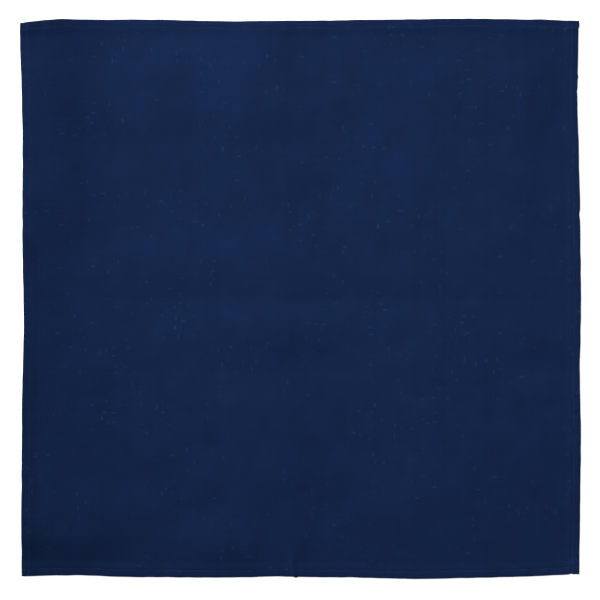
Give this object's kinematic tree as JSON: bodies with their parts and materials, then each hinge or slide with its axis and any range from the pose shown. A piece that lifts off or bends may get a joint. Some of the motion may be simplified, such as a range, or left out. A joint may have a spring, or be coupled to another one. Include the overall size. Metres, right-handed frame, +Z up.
{
  "type": "bandana",
  "caption": "Square navy cotton bandana laid flat, face up, with narrow turned hems topstitched on all sides.",
  "frame": {"origin": "Middle of the bandana's box in X and Y, at the height of the surface that it lies on.", "axes": "+Z up out of the cloth's face, +Y towards the top hem, +X towards the right hem, seen face up."},
  "size_m": [0.5588, 0.5586, 0.0023],
  "materials": {
    "navy_cotton": "matte",
    "navy_thread": "satin"
  },
  "bodies": {
    "root": {"panel": "navy_cotton", "hem_bottom": "navy_cotton", "hem_right": "navy_cotton", "hem_top": "navy_cotton", "hem_left": "navy_cotton"}
  },
  "joints": []
}
